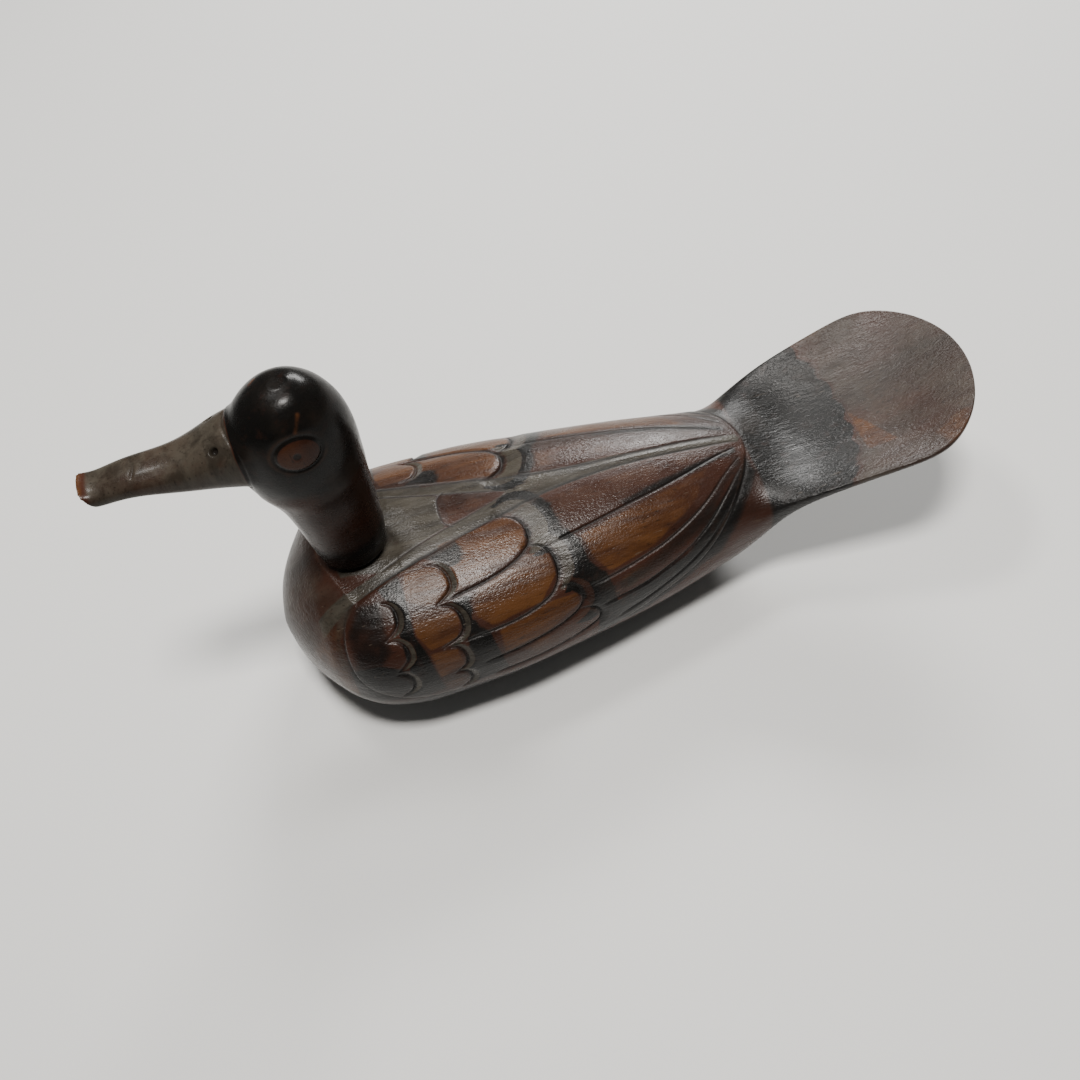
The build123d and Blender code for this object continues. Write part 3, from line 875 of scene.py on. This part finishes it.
# %% The tree that cuts them
def knife_tree():
    tree = bpy.data.node_groups.new("knife_line", "GeometryNodeTree")
    sockets = tree.interface
    sockets.new_socket("Geometry", in_out="INPUT", socket_type="NodeSocketGeometry")
    sockets.new_socket("Paths", in_out="INPUT", socket_type="NodeSocketObject")
    for label, value in (("Width", 0.0009), ("Depth", 0.0004)):
        socket = sockets.new_socket(label, in_out="INPUT", socket_type="NodeSocketFloat")
        socket.default_value = value
    sockets.new_socket("Wood", in_out="INPUT", socket_type="NodeSocketMaterial")
    sockets.new_socket("Geometry", in_out="OUTPUT", socket_type="NodeSocketGeometry")
    nodes, link = tree.nodes, tree.links.new
    given, result = nodes.new("NodeGroupInput"), nodes.new("NodeGroupOutput")
    paths, near = nodes.new("GeometryNodeObjectInfo"), nodes.new("GeometryNodeProximity")
    near.target_element = "EDGES"
    link(given.outputs["Paths"], paths.inputs["Object"])
    link(paths.outputs["Geometry"], near.inputs[0])
    vee = nodes.new("ShaderNodeMapRange")
    link(near.outputs["Distance"], vee.inputs["Value"])
    link(given.outputs["Width"], vee.inputs["From Max"])
    link(given.outputs["Depth"], vee.inputs["To Min"])
    vee.inputs["To Max"].default_value = 0.0
    inward = nodes.new("ShaderNodeMath")
    inward.operation = "MULTIPLY"
    inward.inputs[1].default_value = -1.0
    link(vee.outputs["Result"], inward.inputs[0])
    offset = nodes.new("ShaderNodeVectorMath")
    offset.operation = "SCALE"
    link(nodes.new("GeometryNodeInputNormal").outputs["Normal"], offset.inputs[0])
    link(inward.outputs[0], offset.inputs["Scale"])
    press_in = nodes.new("GeometryNodeSetPosition")
    link(given.outputs["Geometry"], press_in.inputs["Geometry"])
    link(offset.outputs["Vector"], press_in.inputs["Offset"])
    # Painted shade along the knife lines, kept with the shade already stored.
    old_shade = nodes.new("GeometryNodeInputNamedAttribute")
    old_shade.inputs["Name"].default_value = "painted_shade"
    new_shade = nodes.new("ShaderNodeMapRange")
    link(near.outputs["Distance"], new_shade.inputs["Value"])
    half = nodes.new("ShaderNodeMath")
    half.operation = "MULTIPLY"
    half.inputs[1].default_value = 0.6
    link(given.outputs["Width"], half.inputs[0])
    link(half.outputs[0], new_shade.inputs["From Max"])
    new_shade.inputs["To Min"].default_value = 1.0
    new_shade.inputs["To Max"].default_value = 0.0
    most = nodes.new("ShaderNodeMath")
    most.operation = "MAXIMUM"
    link(old_shade.outputs[0], most.inputs[0])
    link(new_shade.outputs["Result"], most.inputs[1])
    stored = nodes.new("GeometryNodeStoreNamedAttribute")
    stored.inputs["Name"].default_value = "painted_shade"
    link(press_in.outputs["Geometry"], stored.inputs["Geometry"])
    link(most.outputs[0], stored.inputs["Value"])
    real, finish = nodes.new("GeometryNodeRealizeInstances"), nodes.new("GeometryNodeSetMaterial")
    link(stored.outputs["Geometry"], real.inputs["Geometry"])
    link(real.outputs["Geometry"], finish.inputs["Geometry"])
    link(given.outputs["Wood"], finish.inputs["Material"])
    link(finish.outputs["Geometry"], result.inputs["Geometry"])
    return tree


knife = knife_tree()
print("knife_line has", len(knife.nodes), "nodes")


# %% Set a tree's inputs by name
def set_inputs(modifier, **values):
    """A modifier knows its inputs by identifier, so each name is looked up in the tree."""
    for item in modifier.node_group.interface.items_tree:
        if item.item_type == "SOCKET" and item.in_out == "INPUT" and item.name in values:
            modifier[item.identifier] = values[item.name]


input_names = [item.name for item in knife.interface.items_tree if item.in_out == "INPUT"]
print("inputs:", ", ".join(input_names))

# %% [markdown]
# ## Stained and polished wood
# One material recipe serves both carved pieces. Long noise makes the grain, the stored patches choose the
# stain, painted shade darkens the cuts, and edges are painted paler, partly as wear and partly as a painted
# highlight. The stain is old and handled to a soft shine, with a thin clear coat on the head alone, and fine
# scratches and open pores break it up.


# %% Small helpers for shader nodes
class Bench:
    """Adds nodes to one material and links them."""

    def __init__(self, name):
        self.material = bpy.data.materials.new(name)
        self.material.use_nodes = True
        self.tree = self.material.node_tree
        self.shader = self.tree.nodes["Principled BSDF"]
        coordinates = self.tree.nodes.new("ShaderNodeTexCoord")
        self.place = coordinates.outputs["Object"]

    def put(self, socket, value):
        if isinstance(value, bpy.types.NodeSocket):
            self.tree.links.new(value, socket)
        else:
            socket.default_value = value

    def stretched(self, scale):
        node = self.tree.nodes.new("ShaderNodeMapping")
        self.put(node.inputs["Vector"], self.place)
        node.inputs["Scale"].default_value = scale
        return node.outputs["Vector"]

    def noise(self, scale, detail=4.0, roughness=0.55, stretch=(1, 1, 1), distortion=0.0):
        node = self.tree.nodes.new("ShaderNodeTexNoise")
        self.put(node.inputs["Vector"], self.stretched(stretch))
        for label, value in (("Scale", scale), ("Detail", detail), ("Roughness", roughness),
                             ("Distortion", distortion)):
            node.inputs[label].default_value = value
        return node.outputs["Fac"]

    def remap(self, value, low, high, to_low=0.0, to_high=1.0):
        node = self.tree.nodes.new("ShaderNodeMapRange")
        node.interpolation_type = "SMOOTHSTEP"
        self.put(node.inputs["Value"], value)
        for label, number in (("From Min", low), ("From Max", high), ("To Min", to_low), ("To Max", to_high)):
            node.inputs[label].default_value = number
        return node.outputs["Result"]

    def math(self, operation, first, second):
        node = self.tree.nodes.new("ShaderNodeMath")
        node.operation = operation
        self.put(node.inputs[0], first)
        self.put(node.inputs[1], second)
        return node.outputs[0]

    def blend(self, share, first, second):
        node = self.tree.nodes.new("ShaderNodeMix")
        node.data_type = "RGBA"
        self.put(node.inputs["Factor"], share)
        self.put(node.inputs["A"], first)
        self.put(node.inputs["B"], second)
        return node.outputs["Result"]

    def patch(self, name):
        node = self.tree.nodes.new("ShaderNodeAttribute")
        node.attribute_name = name
        return node.outputs["Fac"]

    def bump(self, height, strength, distance, under=None):
        node = self.tree.nodes.new("ShaderNodeBump")
        node.inputs["Strength"].default_value = strength
        node.inputs["Distance"].default_value = distance
        self.put(node.inputs["Height"], height)
        if under is not None:
            self.put(node.inputs["Normal"], under)
        return node.outputs["Normal"]


print("shader helpers ready")

# %% The stains' colours, and how deep each relief is in metres
BROWN_DARK, BROWN_WARM = (0.016, 0.0065, 0.004, 1), (0.040, 0.015, 0.009, 1)
AMBER_DEEP, AMBER_LIGHT = (0.030, 0.0105, 0.0042, 1), (0.072, 0.029, 0.0095, 1)
SOOT, SOOT_WORN = (0.004, 0.0037, 0.0034, 1), (0.011, 0.008, 0.006, 1)
SMOKE_DARK, SMOKE_LIGHT = (0.022, 0.0185, 0.0140, 1), (0.044, 0.038, 0.029, 1)
# Dark of the pores and of the painted shade in the cuts, and the paler edge colour, partly wear and partly
# painted highlight.
PORE_AND_SHADE_DARK, WEAR_AND_HIGHLIGHT = (0.003, 0.002, 0.0015, 1), (0.085, 0.038, 0.018, 1)
HAIRLINE = (0.12, 0.095, 0.07, 1)
COAT_ROUGHNESS = 0.16
TOOL_RELIEF, RIDGE_RELIEF, FIBRE_RELIEF, SCRATCH_RELIEF = 0.00014, 0.00024, 0.00012, 0.00012
print("the deepest relief in the wood is", RIDGE_RELIEF / MM, "mm")


# %% The stained wood recipe
def stained_wood(name, grain, low_shine, texture, specular, coat, hair):
    """grain: how the noise is squeezed along each axis, smallest along the fibres. texture: its relief."""
    bench = Bench(name)
    fibres = bench.noise(260, 5, 0.6, grain, 0.4)
    figure = bench.noise(34, 3, 0.5, grain, 0.8)
    blotches = bench.noise(55, 4, 0.6)
    mottle = bench.noise(300, 3, 0.6)
    pores = bench.noise(1500, 2, 0.5, grain)
    hairlines = bench.noise(800, 2, 0.5, tuple(0.02 if value < 1 else value for value in grain))
    across_grain = tuple(value * 0.35 + 0.65 * (k == 2) for k, value in enumerate(grain))
    scratches = bench.noise(900, 2, 0.6, across_grain)
    brown = bench.blend(bench.remap(figure, 0.35, 0.65), BROWN_DARK, BROWN_WARM)
    amber = bench.blend(bench.remap(bench.math("ADD", bench.math("MULTIPLY", fibres, 0.6),
                                               bench.math("MULTIPLY", figure, 0.4)), 0.36, 0.62),
                        AMBER_DEEP, AMBER_LIGHT)
    soot = bench.blend(bench.remap(blotches, 0.5, 0.75), SOOT, SOOT_WORN)
    # The smoke colours serve the olive stain and the gouges' painted highlight.
    smoke = bench.blend(bench.remap(fibres, 0.35, 0.65), SMOKE_DARK, SMOKE_LIGHT)

    def worn(patch_name, amount):
        ragged = bench.math("MULTIPLY", bench.math("SUBTRACT", blotches, 0.5), amount)
        spread_out = bench.math("ADD", bench.patch(patch_name), ragged)
        specks = bench.remap(mottle, 0.2, 0.5, 0.75, 1.0)
        return bench.math("MULTIPLY", bench.remap(spread_out, 0.30, 0.70), specks)

    color = bench.blend(worn("olive", 0.5), brown, smoke)
    color = bench.blend(worn("amber", 0.9), color, amber)
    color = bench.blend(worn("black", 0.6), color, soot)
    # Edges painted paler: partly wear, partly a painted highlight.
    edge_wear_and_highlight = bench.math("MULTIPLY", bench.patch("wear_and_highlight"), bench.remap(blotches, 0.4, 0.65, 0.0, 0.45))
    color = bench.blend(edge_wear_and_highlight, color, WEAR_AND_HIGHLIGHT)
    # Painted shade in the cuts and nostrils, then the wood's dark pores.
    color = bench.blend(bench.math("MULTIPLY", bench.patch("painted_shade"), 0.85), color, PORE_AND_SHADE_DARK)
    color = bench.blend(bench.remap(pores, 0.60, 0.72, 0.0, 0.5), color, PORE_AND_SHADE_DARK)
    color = bench.blend(bench.remap(hairlines, 0.70, 0.76, 0.0, hair), color, HAIRLINE)
    bench.put(bench.shader.inputs["Base Color"], color)
    shine = bench.math("ADD", bench.remap(blotches, 0.3, 0.7, low_shine, low_shine + 0.10),
                       bench.remap(scratches, 0.5, 0.7, 0.0, 0.10))
    shine = bench.math("ADD", shine, bench.math("MULTIPLY", bench.patch("matte"), 0.08))
    bench.put(bench.shader.inputs["Roughness"],
              bench.math("ADD", shine, bench.math("MULTIPLY", bench.patch("painted_shade"), 0.25)))
    bench.shader.inputs["Coat Weight"].default_value = coat
    bench.shader.inputs["Coat Roughness"].default_value = COAT_ROUGHNESS
    bench.shader.inputs["Specular IOR Level"].default_value = specular
    tool_marks = bench.noise(1900, 2, 0.6, tuple(0.5 + value / 2 for value in grain))
    worked = bench.bump(tool_marks, texture, TOOL_RELIEF)
    ridges = bench.math("MULTIPLY", bench.noise(1100, 3, 0.65, grain), bench.patch("matte"))
    ridged = bench.bump(ridges, texture, RIDGE_RELIEF, worked)
    grained = bench.bump(fibres, texture, FIBRE_RELIEF, ridged)
    bench.put(bench.shader.inputs["Normal"], bench.bump(scratches, texture, SCRATCH_RELIEF, grained))
    return bench.material


body_wood = stained_wood("polished_body_wood", (0.16, 1.0, 1.0), low_shine=0.24, texture=0.9,
                         specular=0.27, coat=0.0, hair=0.30)
head_wood = stained_wood("polished_head_wood", (1.0, 1.0, 0.18), low_shine=0.20, texture=0.30,
                         specular=0.08, coat=0.06, hair=0.0)
print("materials:", body_wood.name, head_wood.name)

# %% [markdown]
# ## The hidden peg
# A dowel that sits inside a joint is never stained or polished, so it keeps pale bare wood. It is a plain
# turned rod, and the design's own piece has that shape already: it only needs its material.


# %% Bare wood for the peg
def bare_wood(name):
    bench = Bench(name)
    fibres = bench.noise(420, 5, 0.6, (1.0, 1.0, 0.12), 0.3)
    figure = bench.noise(90, 3, 0.5, (1.0, 1.0, 0.15))
    pores = bench.noise(1600, 2, 0.5, (1.0, 1.0, 0.1))
    color = bench.blend(bench.remap(fibres, 0.35, 0.65), (0.30, 0.17, 0.085, 1), (0.50, 0.32, 0.17, 1))
    color = bench.blend(bench.remap(figure, 0.4, 0.7, 0.0, 0.5), color, (0.22, 0.11, 0.05, 1))
    color = bench.blend(bench.remap(pores, 0.60, 0.70, 0.0, 0.6), color, (0.12, 0.06, 0.03, 1))
    bench.put(bench.shader.inputs["Base Color"], color)
    bench.put(bench.shader.inputs["Roughness"], bench.remap(fibres, 0.3, 0.7, 0.55, 0.75))
    bench.put(bench.shader.inputs["Normal"], bench.bump(fibres, 0.4, 0.0001))
    return bench.material


peg_wood = bare_wood("bare_peg_wood")
peg = frame["nodes"]["neck_peg"]
peg.data.materials.clear()
peg.data.materials.append(peg_wood)
print("the peg is bare wood")

# %% [markdown]
# ## Finishing both pieces
# The tree's cuts are made part of the head's mesh, so that nothing is left to be worked out later, and the
# paths are thrown away. Both pieces then get their wood, and are shaded smooth like sanded wood.

# %% Cut the knife lines, and finish both carved pieces
KNIFE_WIDTH, KNIFE_DEPTH = 0.65, 0.30
cutting = carved_head.modifiers.new("Knife lines", "NODES")
cutting.node_group = knife
set_inputs(cutting, Paths=knife_paths, Width=KNIFE_WIDTH * MM, Depth=KNIFE_DEPTH * MM, Wood=head_wood)
carved_head.data = plain_mesh(carved_head, "carved_head")
bpy.data.objects.remove(knife_paths)
for piece, wood in ((carved_body, body_wood), (carved_head, head_wood)):
    piece.data.materials.clear()
    piece.data.materials.append(wood)
    piece.data.polygons.foreach_set("use_smooth", [True] * len(piece.data.polygons))
    piece.data.update()
    print(piece.name, len(piece.data.polygons), "faces", round(signed_volume(piece.data) / CUBIC_CM, 1), "cc")

# %% [markdown]
# ## Joining the frame
# The carved body takes the place of the design's body, which is hidden, and the carved head takes the place
# of the design's head. Each rides on its own body of the design, so the head turns on its peg when the joint
# does.

# %% Put each piece on its body, and hide the design's piece
for piece, node, carrier, finish in ((carved_body, "duck_body", "body", "stained_body_wood"),
                                     (carved_head, "head_and_neck", "head", "stained_head_wood")):
    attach(piece, carrier)
    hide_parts(node)
    print(piece.name, "rides on", carrier)

# %% [markdown]
# ## Floor, light and camera
# A pale floor and three soft lights, one overhead, one lower like a window and a weak one behind, give the
# long highlights on the wings and the scoop. The camera looks down over the duck's left shoulder.


# %% A pale floor
def pale_floor(size):
    mesh = bpy.data.meshes.new("floor")
    half = size / 2
    corners = [(-half, -half, 0), (half, -half, 0), (half, half, 0), (-half, half, 0)]
    mesh.from_pydata(corners, [], [(0, 1, 2, 3)])
    floor = bpy.data.objects.new("floor", mesh)
    bpy.context.collection.objects.link(floor)
    bench = Bench("pale_floor")
    tone = bench.noise(3.0, 3, 0.5)
    bench.put(bench.shader.inputs["Base Color"],
              bench.blend(tone, (0.60, 0.60, 0.59, 1), (0.66, 0.66, 0.65, 1)))
    bench.shader.inputs["Roughness"].default_value = 0.8
    mesh.materials.append(bench.material)
    return floor


floor = pale_floor(size=3.0)
print("floor ready")


# %% Soft lights
def soft_light(name, place, aim, size, power, tint):
    lamp = bpy.data.lights.new(name, "AREA")
    lamp.shape = "RECTANGLE"
    lamp.size, lamp.size_y = size
    lamp.energy = power
    lamp.color = tint
    light = bpy.data.objects.new(name, lamp)
    light.location = place
    light.rotation_euler = (Vector(aim) - Vector(place)).to_track_quat("-Z", "Y").to_euler()
    bpy.context.collection.objects.link(light)


DUCK_MIDDLE = (0.03, 0, 0.03)
soft_light("overhead", (0.0, -0.14, 1.05), DUCK_MIDDLE, (0.24, 0.16), 14.0, (1.0, 0.97, 0.93))
soft_light("window", (0.48, 0.86, 0.58), DUCK_MIDDLE, (0.46, 0.20), 13.0, (1.0, 0.99, 0.97))
soft_light("behind", (-0.22, 0.40, 1.00), DUCK_MIDDLE, (0.22, 0.16), 5.0, (1.0, 0.98, 0.95))
ROOM_LIGHT = 0.14
world = bpy.data.worlds.new("soft_room")
bpy.context.scene.world = world
world.use_nodes = True
world.node_tree.nodes["Background"].inputs["Color"].default_value = (0.80, 0.79, 0.77, 1)
world.node_tree.nodes["Background"].inputs["Strength"].default_value = ROOM_LIGHT
print("three soft lights and a dim room")

# %% The camera
CAMERA_PLACE = Vector((-0.010, -0.211, 0.341))
CAMERA_RIGHT, CAMERA_UP = Vector((0.9514, -0.2836, -0.1200)), Vector((0.3020, 0.7824, 0.5446))
view = bpy.data.cameras.new("camera")
view.lens, view.sensor_width = 38.5, 36.0
view.clip_start = 0.01
camera = bpy.data.objects.new("camera", view)
back = CAMERA_RIGHT.cross(CAMERA_UP).normalized()
up = back.cross(CAMERA_RIGHT).normalized()
turn = Matrix((CAMERA_RIGHT.normalized(), up, back)).transposed()
camera.matrix_world = Matrix.Translation(CAMERA_PLACE) @ turn.to_4x4()
bpy.context.collection.objects.link(camera)
bpy.context.scene.camera = camera
print("camera at", tuple(round(value, 3) for value in camera.location))
